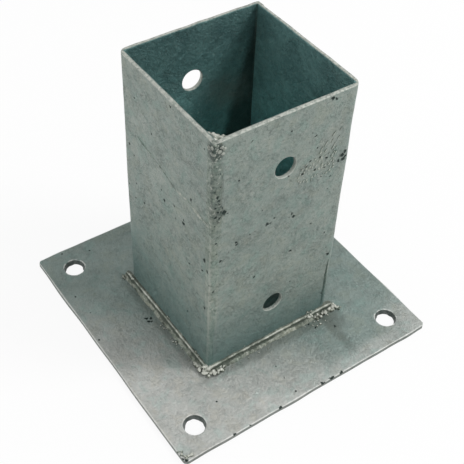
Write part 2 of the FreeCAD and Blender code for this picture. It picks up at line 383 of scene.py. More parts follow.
def coatSleeve(tree, look, colour, where, bent, axes, around, grain):
    # painted shade, darker and bluer towards the foot of the walls, higher up at the far left
    top = calc(tree, "MULTIPLY_ADD", around, look["footSlope"], look["footTop"] * mm)
    foot = spread(tree, axes["Z"], top, look["footFull"] * mm, 0.0, 0.72, "LINEAR")
    colour = mixColour(tree, foot, colour, look["foot"])
    across = fromMiddle(tree, axes)
    within = spread(tree, across, wallFace - 1.6 * mm, wallFace - 1.95 * mm)
    colour = mixColour(tree, within, colour, coatInside(tree, look, where, bent, axes, grain))
    # painted highlight on the rim and in the bolt holes
    bright = spread(tree, axes["Z"], rimTop - 0.8 * mm, rimTop - 0.3 * mm, 0.0, 0.85)
    outer = spread(tree, across, wallFace - 1.75 * mm, wallFace - 1.25 * mm)
    uneven = spread(tree, cloud(tree, where, 2.2 * mm, 3, 0.7), 0.35, 0.58, 0.30, 1.25)
    bright = times(tree, bright, times(tree, outer, uneven))
    for height in boltHeights:
        far = farFrom(tree, axes["Y"], calc(tree, "SUBTRACT", axes["Z"], height))
        lip = spread(tree, far, boltRadius + 0.45 * mm, boltRadius + 0.2 * mm, 0.0, 0.7)
        bright = calc(tree, "MAXIMUM", bright, lip)
    return mixColour(tree, bright, colour, look["rim"])


def finishZinc(name, look, part, shaded=False):
    made = bpy.data.materials.new(name)
    made.use_nodes = True
    tree = made.node_tree
    surface = tree.nodes["Principled BSDF"]
    surface.inputs["Metallic"].default_value = look["metallic"]
    where = addNode(tree, "ShaderNodeTexCoord").outputs["Object"]
    axes = addNode(tree, "ShaderNodeSeparateXYZ", {"Vector": where}).outputs
    # distance round the sleeve, the same on every wall, and height
    around = calc(tree, "ADD", axes["X"], axes["Y"])
    walls = where
    if part == "sleeve":
        walls = addNode(tree, "ShaderNodeCombineXYZ", {"X": around, "Y": axes["Z"]}).outputs[0]
    colour, grain, relief = zincBase(tree, where, walls, look)

    bent = bendPlaces(tree, where)
    pit = findPits(tree, where, bent, look)
    # painted shade spots and painted highlight spots
    for kind, edge, tint in (("shadows", 0.4, "pit"), ("lights", 0.6, "warm")):
        for x, y, z, wide, high, strength in look.get(kind, []):
            spot = times(tree, patch(tree, bent, (x, y, z), (wide, wide, high), edge), strength)
            colour = mixColour(tree, spot, colour, look[tint])
    colour = mixColour(tree, times(tree, pit, 0.95), colour, look["pit"])
    if part == "plate":
        colour = coatPlate(tree, look, colour, where, bent, axes, pit)
    if shaded:
        colour = coatWeld(tree, look, colour)
    if part == "sleeve":
        colour = coatSleeve(tree, look, colour, where, bent, axes, around, grain)
    tree.links.new(colour, surface.inputs["Base Color"])

    height = calc(tree, "MULTIPLY_ADD", relief, 0.6, cloud(tree, where, pattern["relief"], 4, 0.6))
    height = calc(tree, "MULTIPLY_ADD", pit, -0.8, height)
    bump = addNode(tree, "ShaderNodeBump", {
        "Height": height, "Strength": look["bump"], "Distance": pattern["reliefDepth"]})
    tree.links.new(bump.outputs["Normal"], surface.inputs["Normal"])
    low, high = look["roughness"]
    shine = spread(tree, cloud(tree, where, pattern["shine"], 4, 0.6), 0.35, 0.65, low, high)
    shine = calc(tree, "MAXIMUM", shine, times(tree, pit, 0.9))
    tree.links.new(shine, surface.inputs["Roughness"])
    return made


finishes = {
    "plate": finishZinc("plateZinc", plateZinc, "plate"),
    "sheet": finishZinc("sheetZinc", sheetZinc, "sleeve"),
    "seam": finishZinc("seamZinc", seamZinc, "sleeve", shaded=True),
    "weld": finishZinc("weldZinc", weldZinc, "weld", shaded=True),
}
print("finishes ready")


def swell(u, v, size, seed, waves=9):
    # a smooth uneven surface, from about -1 to 1
    chance = np.random.default_rng(seed)
    total = 0.0
    for _ in range(waves):
        angle = chance.uniform(0, 2 * math.pi)
        length = size * chance.uniform(0.6, 1.7)
        phase = chance.uniform(0, 2 * math.pi)
        total = total + np.sin((u * math.cos(angle) + v * math.sin(angle)) * 2 * math.pi / length + phase)
    return total * math.sqrt(2 / waves) / 1.6


def gridLines(low, high, step):
    return np.linspace(low, high, max(2, round((high - low) / step) + 1))


def skinMesh(name, us, vs, holes, cut, place):
    # a flat blank on a grid, with holes and rounded rims, that place() lays in space
    rows = len(vs)
    flat = np.stack(np.meshgrid(us, vs, indexing="ij"), axis=-1).reshape(-1, 2)
    i, j = np.meshgrid(np.arange(len(us) - 1), np.arange(rows - 1), indexing="ij")
    first = (i * rows + j).ravel()
    cells = np.stack([first, first + rows, first + rows + 1, first + 1], axis=1)
    rim = cut["rim"]
    for hole in holes:
        middle = flat[cells].mean(axis=1)
        cells = cells[np.hypot(middle[:, 0] - hole[0], middle[:, 1] - hole[1]) > hole[2] + rim]

    # open edges run with the metal on their left
    starts = cells.ravel()
    ends = np.roll(cells, -1, axis=1).ravel()
    key = starts * len(flat) + ends
    isOpen = ~np.isin(key, ends * len(flat) + starts)
    edgeStarts, edgeEnds = starts[isOpen], ends[isOpen]
    border = np.unique(edgeStarts)
    outward = np.zeros_like(flat)
    along = flat[edgeEnds] - flat[edgeStarts]
    side = np.sign(np.round(np.stack([along[:, 1], -along[:, 0]], axis=1), 9))
    np.add.at(outward, edgeStarts, side)
    np.add.at(outward, edgeEnds, side)
    outward = np.clip(outward, -1, 1)
    for hole in holes:
        away = flat - np.array(hole[:2])
        distance = np.hypot(away[:, 0], away[:, 1])
        ring = border[distance[border] < hole[2] + rim + 2 * cut["step"]]
        flat[ring] = np.array(hole[:2]) + away[ring] / distance[ring, None] * (hole[2] + rim)
        outward[ring] = -away[ring] / distance[ring, None]
        near = np.flatnonzero(distance < hole[2] + 6 * cut["step"])
        near = np.setdiff1d(np.intersect1d(near, cells), border)
        for _ in range(12):
            flat[near] = (flat[near - 1] + flat[near + 1] + flat[near - rows] + flat[near + rows]) / 4

    used = np.unique(cells)
    newIndex = np.full(len(flat), -1)
    newIndex[used] = np.arange(len(used))
    half = cut["thick"] / 2
    points = [place(flat[used, 0], flat[used, 1], np.full(len(used), half)),
              place(flat[used, 0], flat[used, 1], np.full(len(used), -half))]
    count = len(used)
    faces = [newIndex[cells], newIndex[cells][:, ::-1] + count]
    # rings of points that carry the rounded rim from one face to the other
    turns = np.linspace(0, math.pi / 2, cut["rimSteps"] + 1)[1:]
    steps = [(rim * math.sin(turn), half - rim * (1 - math.cos(turn))) for turn in turns]
    steps = steps + [(out, -height) for out, height in reversed(steps)]
    ringIndex = np.full(len(flat), -1)
    ringIndex[border] = np.arange(len(border))
    previous = newIndex[edgeStarts], newIndex[edgeEnds]
    total = 2 * count
    for out, height in steps:
        ring = flat[border] + outward[border] * out
        points.append(place(ring[:, 0], ring[:, 1], np.full(len(border), height)))
        current = ringIndex[edgeStarts] + total, ringIndex[edgeEnds] + total
        faces.append(np.stack([previous[1], previous[0], current[0], current[1]], axis=1))
        previous = current
        total += len(border)
    last = newIndex[edgeStarts] + count, newIndex[edgeEnds] + count
    faces.append(np.stack([previous[1], previous[0], last[0], last[1]], axis=1))

    mesh = bpy.data.meshes.new(name)
    mesh.from_pydata(np.concatenate(points).tolist(), [], np.concatenate(faces).tolist())
    return finishMesh(mesh)


def finishMesh(mesh):
    work = bmesh.new()
    work.from_mesh(mesh)
    for vertex in work.verts:
        vertex.co.x = min(max(vertex.co.x, -plateHalf), plateHalf)
        vertex.co.y = min(max(vertex.co.y, -plateHalf), plateHalf)
        vertex.co.z = min(vertex.co.z, rimTop)
    bmesh.ops.remove_doubles(work, verts=work.verts, dist=1e-7)
    bmesh.ops.recalc_face_normals(work, faces=work.faces)
    work.to_mesh(mesh)
    work.free()
    mesh.shade_smooth()
    return mesh


def addPiece(name, mesh, finish, stands=()):
    piece = addObject(name, mesh)
    mesh.materials.clear()
    mesh.materials.append(finishes[finish])
    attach(piece, "root")
    if stands:
        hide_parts(*stands)
    return piece


plate = {
    "thick": plateTop,
    "step": 1.0 * mm,
    "rim": 0.45 * mm,
    "rimSteps": 3,
    "corner": 2.2 * mm,
    "wave": 0.10 * mm,      # how far the face strays from flat
    "waveLength": 42 * mm,
    "grain": 0.02 * mm,
    "grainLength": 5 * mm,
    "nick": 0.35 * mm,      # deepest waver of the cut edges
    "nickLengths": (24 * mm, 31 * mm),
    "pitDepth": 0.25 * mm,
    "holeTaper": 1.6 * mm,  # zinc in the anchor holes, of which about 0.6 is reached at the underside
    "holeRagged": 0.30 * mm,
    "holeBand": 2.5 * mm,   # how far round a hole the metal is drawn in
}


def pressPits(u, v):
    down = 0.0
    for x, y, _, radius in plateZinc["pits"]:
        far = np.hypot(u - x * mm, v - y * mm) / (radius * mm)
        down = down + plate["pitDepth"] * np.exp(-far ** 2)
    return down


def wornEdge(along, across, length, seed):
    waver = plate["nick"] * (0.5 - 0.5 * swell(along * np.sign(across), along * 0, length, seed))
    reach = np.clip((np.abs(across) / plateHalf - 0.9) * 10, 0, 1)
    return np.sign(across) * waver * reach


def fillHole(x, y, side, end, low):
    awayX, awayY = x - side * anchorOut, y - end * anchorOut
    radius = np.maximum(np.hypot(awayX, awayY), 1e-6)
    bearing = np.arctan2(awayY, awayX)
    ragged = np.sin(3 * bearing + 2 * side) + 0.6 * np.sin(7 * bearing + end) + 0.4 * np.sin(11 * bearing)
    near = np.clip((anchorRadius + plate["holeBand"] - radius) / plate["holeBand"], 0, 1)
    pull = near * low * (plate["holeTaper"] + plate["holeRagged"] * ragged)
    return x - awayX / radius * pull, y - awayY / radius * pull


def placePlate(u, v, height):
    x = u - wornEdge(v, u, plate["nickLengths"][0], 3)
    y = v - wornEdge(u, v, plate["nickLengths"][1], 4)
    # the sheared corners are a little blunt
    over = np.clip(np.abs(x) + np.abs(y) - (2 * plateHalf - plate["corner"]), 0, None)
    x = x - np.sign(x) * over / 2
    y = y - np.sign(y) * over / 2
    # the anchor holes narrow downwards
    low = np.clip(-height / plate["thick"], 0, 1) ** 0.7
    for side in (-1, 1):
        for end in (-1, 1):
            x, y = fillHole(x, y, side, end, low)
    dip = plate["wave"] * (0.5 - 0.5 * swell(u, v, plate["waveLength"], 11))
    dip = dip + plate["grain"] * swell(u, v, plate["grainLength"], 12) + pressPits(u, v)
    top = height > -plate["thick"] / 2 + plate["rim"]
    z = height + plate["thick"] / 2 - np.where(top, np.clip(dip, 0, None), 0)
    return np.stack([x, y, z], axis=1)


def buildPlate():
    inset = plateHalf - plate["rim"]
    lines = gridLines(-inset, inset, plate["step"])
    holes = [(x * anchorOut, y * anchorOut, anchorRadius) for x in (-1, 1) for y in (-1, 1)]
    mesh = skinMesh("plate", lines, lines, holes, plate, placePlate)
    return addPiece("plate", mesh, "plate", ["base_plate"])


buildPlate()
print("plate ready")

sleeveSheet = {
    "thick": 2.0 * mm,
    "bend": 2.0 * mm,       # inner radius
    "step": 1.05 * mm,
    "rim": 0.4 * mm,
    "rimSteps": 3,
    "bow": 0.16 * mm,       # slow waver of the walls
    "bowLength": 55 * mm,
    "skin": 0.025 * mm,     # uneven zinc
    "skinLength": 7 * mm,
    "rimWaver": 0.28 * mm,
    "rimLength": 13 * mm,
    "rimBand": 8 * mm,      # how far down the waver is felt
    "sink": 0.2 * mm,       # how far the walls stand in the plate
}
bendRadius = sleeveSheet["bend"] + sleeveSheet["thick"] / 2
bendCentre = wallFace - sleeveSheet["thick"] / 2 - bendRadius
bendLength = bendRadius * math.pi / 2
flangeLength = flangeEnd + bendCentre


def layAngle(u, v, height, seed):
    # u runs along the -Y wall from its free edge, round the bend and along the -X wall
    out = height + sleeveSheet["bow"] * swell(u, v, sleeveSheet["bowLength"], seed)
    out = out + sleeveSheet["skin"] * swell(u, v, sleeveSheet["skinLength"], seed + 1)
    turn = np.clip((u - flangeLength) / bendRadius, 0, math.pi / 2)
    run = bendRadius + out
    onFlange = u <= flangeLength
    onBend = (u > flangeLength) & (u < flangeLength + bendLength)
    x = np.where(onFlange, flangeEnd - u,
                 np.where(onBend, -bendCentre - run * np.sin(turn), -bendCentre - run))
    y = np.where(onFlange, -bendCentre - run,
                 np.where(onBend, -bendCentre - run * np.cos(turn),
                          -bendCentre + u - flangeLength - bendLength))
    band = sleeveSheet["rimBand"]
    near = np.clip((v - (rimTop - band)) / band, 0, 1) ** 2
    waver = 0.5 - 0.5 * swell(u, u * 0, sleeveSheet["rimLength"], seed + 5)
    return x, y, v - near * sleeveSheet["rimWaver"] * waver


def buildAngle(name, side, seed, node):
    rim, step = sleeveSheet["rim"], sleeveSheet["step"]
    us = np.concatenate([
        gridLines(rim, flangeLength, step)[:-1],
        gridLines(flangeLength, flangeLength + bendLength, bendLength / 10)[:-1],
        gridLines(flangeLength + bendLength, 2 * flangeLength + bendLength - rim, step),
    ])
    vs = gridLines(plateTop - sleeveSheet["sink"] + rim, rimTop - rim, step)
    wallMiddle = flangeLength + bendLength + bendCentre
    holes = [(wallMiddle, height, boltRadius) for height in boltHeights]

    def place(u, v, height):
        x, y, z = layAngle(u, v, height, seed)
        return np.stack([side * x, side * y, z], axis=1)

    return addPiece(name, skinMesh(name, us, vs, holes, sleeveSheet, place), "sheet", [node])


buildAngle("angleLeft", 1, 21, "sleeve_angle_left")
buildAngle("angleRight", -1, 37, "sleeve_angle_right")
print("sleeve ready")


def newTree(name, kinds):
    tree = bpy.data.node_groups.new(name, "GeometryNodeTree")
    for socket, kind in {"Geometry": "Geometry", **kinds}.items():
        tree.interface.new_socket(socket, in_out="INPUT", socket_type="NodeSocket" + kind)
    tree.interface.new_socket("Geometry", in_out="OUTPUT", socket_type="NodeSocketGeometry")
    return tree, addNode(tree, "NodeGroupInput").outputs


def keepValue(tree, geometry, name, value):
    kept = addNode(tree, "GeometryNodeCaptureAttribute", {"Geometry": geometry})
    kept.capture_items.new("FLOAT", name)
    tree.links.new(value, kept.inputs[1])
    return kept.outputs


def storeShade(tree, geometry, shade):
    return addNode(tree, "GeometryNodeStoreNamedAttribute", {
        "Geometry": geometry, "Name": "shade", "Value": shade}, data_type="FLOAT", domain="POINT").outputs[0]


def position(tree):
    return addNode(tree, "GeometryNodeInputPosition").outputs[0]


def roughNoise(tree, size, seed, detail, roughness=0.5):
    # 0 on average, mostly from -1 to 1
    noise = addNode(tree, "ShaderNodeTexNoise", {
        "Vector": position(tree), "W": seed,
        "Scale": calc(tree, "DIVIDE", 1.0, size), "Detail": detail, "Roughness": roughness},
        noise_dimensions="4D").outputs["Fac"]
    return times(tree, calc(tree, "SUBTRACT", noise, 0.5), 4.0)


def pushOut(tree, geometry, distance):
    # along the normal
    normal = addNode(tree, "GeometryNodeInputNormal").outputs[0]
    shift = vectorMath(tree, "SCALE", normal, scale=distance)[0]
    return addNode(tree, "GeometryNodeSetPosition", {"Geometry": geometry, "Offset": shift}).outputs[0]


def resample(tree, curve, step):
    lengths = {"Curve": curve, "Length": step}
    return addNode(tree, "GeometryNodeResampleCurve", lengths, mode="LENGTH").outputs[0]


def weldTree():
    tree, given = newTree("weldBead", {
        "Section": "Object", "Step": "Float", "Scale pitch": "Float", "Scale height": "Float",
        "Scale bow": "Float", "Lump size": "Float", "Lump height": "Float", "Grain size": "Float",
        "Grain height": "Float", "Rough from": "Float", "Rough gain": "Float", "Seed": "Float",
        "Metal": "Material"})

    # the section's point radius carries its painted shade, from dark groove to bright ridge
    outline = addNode(tree, "GeometryNodeObjectInfo", {"Object": given["Section"]})
    outline = addNode(tree, "GeometryNodeCurveSplineType", {"Curve": outline.outputs["Geometry"]},
                      spline_type="CATMULL_ROM")
    outline = keepValue(tree, resample(tree, outline.outputs[0], given["Step"]), "shade",
                        addNode(tree, "GeometryNodeInputRadius").outputs[0])
    profile = keepValue(tree, outline["Geometry"], "across",
                        addNode(tree, "GeometryNodeSplineParameter").outputs["Factor"])
    route = keepValue(tree, resample(tree, given["Geometry"], given["Step"]), "along",
                      addNode(tree, "GeometryNodeSplineParameter").outputs["Length"])
    bead = addNode(tree, "GeometryNodeCurveToMesh", {
        "Curve": route["Geometry"],
        "Profile Curve": profile["Geometry"],
        "Scale": addNode(tree, "GeometryNodeInputRadius").outputs[0],
        "Fill Caps": True,
    })

    # bowed scales, slow lumps and a fine grain, all along the normal
    across = calc(tree, "SUBTRACT", profile["across"], 0.5)
    lag = times(tree, times(tree, across, across), given["Scale bow"])
    phase = calc(tree, "ADD", calc(tree, "DIVIDE", route["along"], given["Scale pitch"]), lag)
    scale = calc(tree, "SINE", times(tree, phase, 2 * math.pi))
    lump = roughNoise(tree, given["Lump size"], given["Seed"], 2.0, 0.6)
    grain = roughNoise(tree, given["Grain size"], given["Seed"], 3.0, 0.6)
    begin = calc(tree, "SUBTRACT", given["Rough from"], 6 * mm)
    gain = spread(tree, route["along"], begin, given["Rough from"], 1.0, given["Rough gain"])
    rough = calc(tree, "ADD", times(tree, lump, given["Lump height"]),
                 times(tree, grain, given["Grain height"]))
    move = calc(tree, "ADD", times(tree, scale, given["Scale height"]), times(tree, rough, gain))
    tint = calc(tree, "ADD", times(tree, lump, 0.50), times(tree, grain, 0.14))
    shade = calc(tree, "ADD", outline["shade"], times(tree, tint, gain))
    endTree(tree, storeShade(tree, pushOut(tree, bead.outputs[0], move), shade), given["Metal"])
    return tree


def endTree(tree, geometry, metal):
    smooth = addNode(tree, "GeometryNodeSetShadeSmooth", {"Geometry": geometry})
    real = addNode(tree, "GeometryNodeRealizeInstances", {"Geometry": smooth.outputs[0]})
    coated = addNode(tree, "GeometryNodeSetMaterial", {"Geometry": real.outputs[0], "Material": metal})
    addNode(tree, "NodeGroupOutput", {"Geometry": coated.outputs[0]})


def drawCurve(name, points, closed=False):
    # points hold a place and a size
    curve = bpy.data.curves.new(name, "CURVE")
    curve.dimensions = "3D"
    line = curve.splines.new("POLY")
    line.points.add(len(points) - 1)
    for point, (x, y, z, size) in zip(line.points, points):
        point.co = (x * mm, y * mm, z * mm, 1)
        point.radius = size
    line.use_cyclic_u = closed
    return addObject(name, curve)


def runTree(bench, tree, settings):
    # sets the inputs by identifier, then bakes the result to a plain mesh
    modifier = bench.modifiers.new("nodes", "NODES")
    modifier.node_group = tree
    for item in tree.interface.items_tree:
        if item.in_out == "INPUT" and item.name in settings:
            modifier[item.identifier] = settings[item.name]
    graph = bpy.context.evaluated_depsgraph_get()
    mesh = bpy.data.meshes.new_from_object(bench.evaluated_get(graph))
    bench.modifiers.clear()
    bpy.data.objects.remove(bench)
    return mesh


def layBead(name, bead, place, node, finish="weld"):
    route = [(x, y, 0, size) for x, y, size in bead["route"]]
    section = drawCurve(name + "Section", [(out, -up, 0, shade) for out, up, shade in bead["section"]], True)
    bench = drawCurve(name + "Route", route)
    settings = {
        "Section": section,
        "Step": bead["step"] * mm,
        "Scale pitch": bead["pitch"] * mm,
        "Scale height": bead["ripple"] * mm,
        "Scale bow": bead["bow"],
        "Lump size": bead["lumpSize"] * mm,
        "Lump height": bead["lump"] * mm,
        "Grain size": bead["grainSize"] * mm,
        "Grain height": bead["grain"] * mm,
        "Rough from": bead["roughFrom"] * mm,
        "Rough gain": bead["roughGain"],
        "Seed": bead["seed"],
        "Metal": finishes[finish],
    }
    mesh = runTree(bench, beadNodes, settings)
    bpy.data.objects.remove(section)
    mesh.transform(place)
    mesh.name = name
    return addPiece(name, finishMesh(mesh), finish, [node] if node else [])


beadNodes = weldTree()

# how far out from the wall and up from the plate, and the painted shade, round the section
footSection = [
    (-1.0, 3.6, 0.2), (0.02, 3.6, -0.1), (0.3, 3.5, 0.0), (0.65, 3.25, 0.75), (0.95, 2.95, 0.85),
    (1.15, 2.5, 0.0), (1.3, 1.8, -0.2), (1.65, 1.3, 0.1), (2.1, 0.95, 0.4), (2.6, 0.45, 0.3),
    (3.1, -0.1, 0.3), (2.0, -0.8, 0.4), (-1.0, -0.8, 0.4),
]
seamSection = [
    (4.8, 0.12, 0.5), (3.9, 0.0, 0.5), (2.8, -0.08, 0.5), (1.5, -0.1, 0.5), (0.5, 0.06, 0.5),
    (0.06, 0.5, 0.5), (-0.1, 1.5, 0.5), (-0.08, 2.8, 0.5), (0.0, 3.9, 0.5), (0.12, 4.8, 0.5),
    (1.5, 2.9, 0.4), (1.95, 1.95, 0.3), (2.9, 1.5, 0.4),
]

footFront = {
    "route": [
        (-wallEdge - 3.4, -0.9, 0.35), (-wallEdge - 2.6, -0.8, 0.75), (-wallEdge, -0.6, 0.95),
        (-27, -0.35, 0.88), (-19, -0.3, 1.0), (-12, -0.1, 0.9), (-4, -0.15, 1.03), (4, 0, 0.92),
        (12, -0.1, 1.02), (20, 0, 0.9), (28, -0.05, 1.0), (wallEdge - 2, 0, 1.05),
        (wallEdge + 1.6, 0, 0.85),
    ],
    "section": footSection,
    "step": 0.33,
    "pitch": 2.6, "ripple": 0.035, "bow": 1.5,
    "lumpSize": 6.0, "lump": 0.16, "grainSize": 0.9, "grain": 0.07,
    "roughFrom": 1000.0, "roughGain": 1.0,      # past the end, so the roughness is even
    "seed": 3.0,
}
footRight = dict(footFront)
footRight.update({
    "route": [
        (-wallEdge - 2, 0, 0.9), (-wallEdge + 2, 0, 1.1), (-28, -0.1, 0.95), (-22, 0.1, 1.06),
        (-16, 0, 0.93), (-9, 0.05, 1.08), (-2, 0, 0.92), (5, 0.1, 1.08), (12, 0, 0.95), (20, 0, 1.12),
        (26, -0.1, 1.0), (31, 0, 1.15), (wallEdge, 0, 1.15), (wallEdge + 2.5, 0, 1.0),
        (wallEdge + 4.2, 0, 0.4),
    ],
    "pitch": 2.9, "ripple": 0.05,
    "lump": 0.22, "grain": 0.10,
    "seed": 8.0,
})
footBack = dict(footFront)
footBack.update({
    "route": [(-33.5, 0, 0.4), (-32, 0, 0.95), (0, 0, 1.0), (32, 0, 1.0), (33.5, 0, 0.45)],
    "seed": 13.0,
})
footLeft = dict(footBack, seed=17.0)

rise = rimTop - plateTop
seamFront = {
    "route": [
        (0.1, 0, 1.0), (20, 0, 0.9), (60, 0, 0.95), (100, 0, 1.05), (126, 0, 1.0),
        (rise / mm - 0.35, 0, 1.0),
    ],
    "section": seamSection,
    "step": 0.36,
    "pitch": 3.2, "ripple": 0.02, "bow": 2.0,
    "lumpSize": 2.0, "lump": 0.07, "grainSize": 0.8, "grain": 0.05,
    "roughFrom": 106.0 - plateTop / mm, "roughGain": 1.5,
    "seed": 23.0,
}
seamBack = dict(seamFront, roughFrom=200.0, pitch=3.6, ripple=0.05, seed=29.0)


def turned(quarter):
    return Matrix.Rotation(quarter * math.pi / 2, 4, "Z")


def buildWelds():
    foot = Matrix.Translation((0, -wallFace, plateTop))
    layBead("footWeldFront", footFront, foot, "foot_weld_front")
    layBead("footWeldRight", footRight, turned(1) @ foot, "foot_weld_right")
    layBead("footWeldBack", footBack, turned(2) @ foot, "foot_weld_back")
    layBead("footWeldLeft", footLeft, turned(3) @ foot, "foot_weld_left")
    upright = Matrix(((0, 1, 0, wallFace), (0, 0, 1, -wallFace), (1, 0, 0, plateTop), (0, 0, 0, 1)))
    layBead("seamWeldFront", seamFront, upright, "seam_weld_front", "seam")
    layBead("seamWeldBack", seamBack, turned(2) @ upright, "seam_weld_back", "seam")


def scatterTree():
    tree, given = newTree("zincScatter", {
        "Gap": "Float", "Density": "Float", "Long": "Float", "Wide": "Float", "High": "Float",
        "Turn": "Float", "Turn spread": "Float", "Shade": "Float", "Seed": "Int", "Metal": "Material"})
    spots = addNode(tree, "GeometryNodeDistributePointsOnFaces", {
        "Mesh": given["Geometry"], "Distance Min": given["Gap"], "Density Max": given["Density"],
        "Seed": given["Seed"]}, distribute_method="POISSON")
    ball = addNode(tree, "GeometryNodeMeshIcoSphere", {"Radius": 0.5, "Subdivisions": 2})
    place = addNode(tree, "ShaderNodeSeparateXYZ", {"Vector": position(tree)}).outputs
    # painted shade on a skirt below a painted highlight on the top
    tint = spread(tree, place["Z"], 0.12, 0.42, -0.1, given["Shade"], "LINEAR")
    ball = storeShade(tree, ball.outputs["Mesh"], tint)
    least = times(tree, given["Turn spread"], -1.0)
    swing = addNode(tree, "FunctionNodeRandomValue", {
        2: least, 3: given["Turn spread"], "Seed": given["Seed"]})
    spin = addNode(tree, "ShaderNodeCombineXYZ", {"Z": calc(tree, "ADD", given["Turn"], swing.outputs[1])})
    grow = addNode(tree, "FunctionNodeRandomValue", {
        2: 0.45, 3: 1.3, "Seed": calc(tree, "ADD", given["Seed"], 5.0)})
    shape = addNode(tree, "ShaderNodeCombineXYZ", {
        "X": given["Long"], "Y": given["Wide"], "Z": given["High"]})
    balls = addNode(tree, "GeometryNodeInstanceOnPoints", {
        "Points": spots.outputs["Points"], "Instance": ball, "Rotation": spin.outputs[0],
        "Scale": vectorMath(tree, "SCALE", shape.outputs[0], scale=grow.outputs[1])[0]})
    endTree(tree, balls.outputs[0], given["Metal"])
    return tree


def lumpTree():
    tree, given = newTree("zincLumps", {
        "Count": "Int", "Spread": "Vector", "Voxel": "Float", "Grain size": "Float", "Grain height": "Float",
        "On corner": "Float", "From": "Float", "To": "Float", "Shade": "Float", "Seed": "Int",
        "Metal": "Material"})
    spots = addNode(tree, "GeometryNodeMeshToPoints", {"Mesh": given["Geometry"]})
    many = addNode(tree, "GeometryNodeDuplicateElements", {
        "Geometry": spots.outputs[0], "Amount": given["Count"]}, domain="POINT")
    least = vectorMath(tree, "SCALE", given["Spread"], scale=-1.0)[0]
    shift = addNode(tree, "FunctionNodeRandomValue", {
        0: least, 1: given["Spread"], "Seed": given["Seed"]}, data_type="FLOAT_VECTOR")
    moved = addNode(tree, "GeometryNodeSetPosition", {
        "Geometry": many.outputs[0], "Offset": shift.outputs["Value"]})
    size = addNode(tree, "GeometryNodeInputNamedAttribute", {"Name": "size"}, data_type="FLOAT")
    grow = addNode(tree, "FunctionNodeRandomValue", {2: 0.6, 3: 1.15, "Seed": given["Seed"]})
    radius = times(tree, size.outputs["Attribute"], grow.outputs[1])
    cloudy = addNode(tree, "GeometryNodePointsToVolume", {
        "Points": moved.outputs[0], "Voxel Size": given["Voxel"], "Radius": radius},
        resolution_mode="VOXEL_SIZE")
    skin = addNode(tree, "GeometryNodeVolumeToMesh", {
        "Volume": cloudy.outputs[0], "Voxel Size": given["Voxel"], "Threshold": 0.1},
        resolution_mode="VOXEL_SIZE")
    rough = roughNoise(tree, given["Grain size"], given["Seed"], 3.0)
    bumpy = pushOut(tree, skin.outputs[0], times(tree, rough, given["Grain height"]))
    # painted shade in the hollows between the lumps and painted highlight on their tops
    place = addNode(tree, "ShaderNodeSeparateXYZ", {"Vector": position(tree)}).outputs
    beside = calc(tree, "MAXIMUM", place["X"], times(tree, place["Y"], -1.0))
    out = addNode(tree, "ShaderNodeMix", {0: given["On corner"], 2: place["Z"], 3: beside})
    top = spread(tree, out.outputs[0], given["From"], given["To"], -0.1, given["Shade"], "LINEAR")
    endTree(tree, storeShade(tree, bumpy, calc(tree, "MULTIPLY_ADD", rough, 0.35, top)), given["Metal"])
    return tree


scatterNodes = scatterTree()
lumpNodes = lumpTree()

# a wall lies flat on the bench: along the wall, up it, and out of it
onFrontWall = Matrix(((1, 0, 0, 0), (0, 0, -1, -wallFace), (0, 1, 0, 0), (0, 0, 0, 1)))
onRightWall = Matrix(((0, 0, 1, wallFace), (1, 0, 0, 0), (0, 1, 0, 0), (0, 0, 0, 1)))
onPlate = Matrix.Translation((0, 0, plateTop))

pimples = {"on": onRightWall, "turn": 0.95, "stray": 0.35, "shade": 1.15, "finish": "seam"}
grains = {
    "on": onPlate,
    "gap": 1.1,
    "size": (1.0, 0.9, 1.0),
    "turn": 0,      # in radians
    "stray": 3,     # how far the turn wanders either way
    "shade": 1.2,
    "finish": "weld",
}
spatter = {
    # each patch's middle and half size, the gap between grains, and how long, wide and high one is, in mm
    "pimples": dict(pimples, middle=(17.5, 111.5), half=(10.0, 6.0), gap=1.5, size=(1.6, 0.85, 1.0),
                    seed=5),
    "pimplesLow": dict(pimples, middle=(23.5, 115.5), half=(5.0, 4.5), gap=1.7, size=(2.0, 0.8, 0.8),
                       stray=0.3, seed=9),
    "pimplesHigh": dict(pimples, middle=(23, 125), half=(6, 4.5), gap=2.9, size=(3.0, 0.6, 0.42),
                        turn=1.0, stray=0.2, shade=1.1, seed=14),
    "toeGrainsA": dict(grains, middle=(1.6, -41.4), half=(2.2, 0.8), seed=21),
    "toeGrainsB": dict(grains, middle=(12.4, -41.4), half=(2.6, 0.8), size=(1.1, 0.9, 1.0), seed=22),
    "toeGrainsC": dict(grains, middle=(41.8, -10), half=(1.0, 20), gap=3.4, size=(0.9, 0.8, 0.7),
                       shade=0.9, seed=23),
    "toeGrainsD": dict(grains, middle=(43.2, 28), half=(1.6, 8), gap=2.1, size=(1.3, 1.0, 1.0), seed=24),
    "toeGrainsE": dict(grains, middle=(24, -41.8), half=(9, 1.0), gap=2.6, size=(0.9, 0.8, 0.8),
                       shade=1.0, seed=25),
    "wallBallsA": dict(grains, on=onFrontWall, middle=(1, 8.0), half=(0.7, 0.6), gap=1.0,
                       size=(1.1, 1.0, 1.1), seed=31),
    "wallBallsB": dict(grains, on=onFrontWall, middle=(27.6, 7.4), half=(1.9, 0.9), gap=1.5, seed=32),
    "wallBallsC": dict(grains, on=onRightWall, middle=(26.0, 7.8), half=(2.0, 0.8), gap=1.3,
                       size=(1.3, 1.1, 1.2), seed=33),
    "wallBallsD": dict(grains, on=onRightWall, middle=(-22, 7.6), half=(8, 0.8), gap=3.2,
                       size=(0.8, 0.7, 0.7), shade=1.0, seed=34),
}


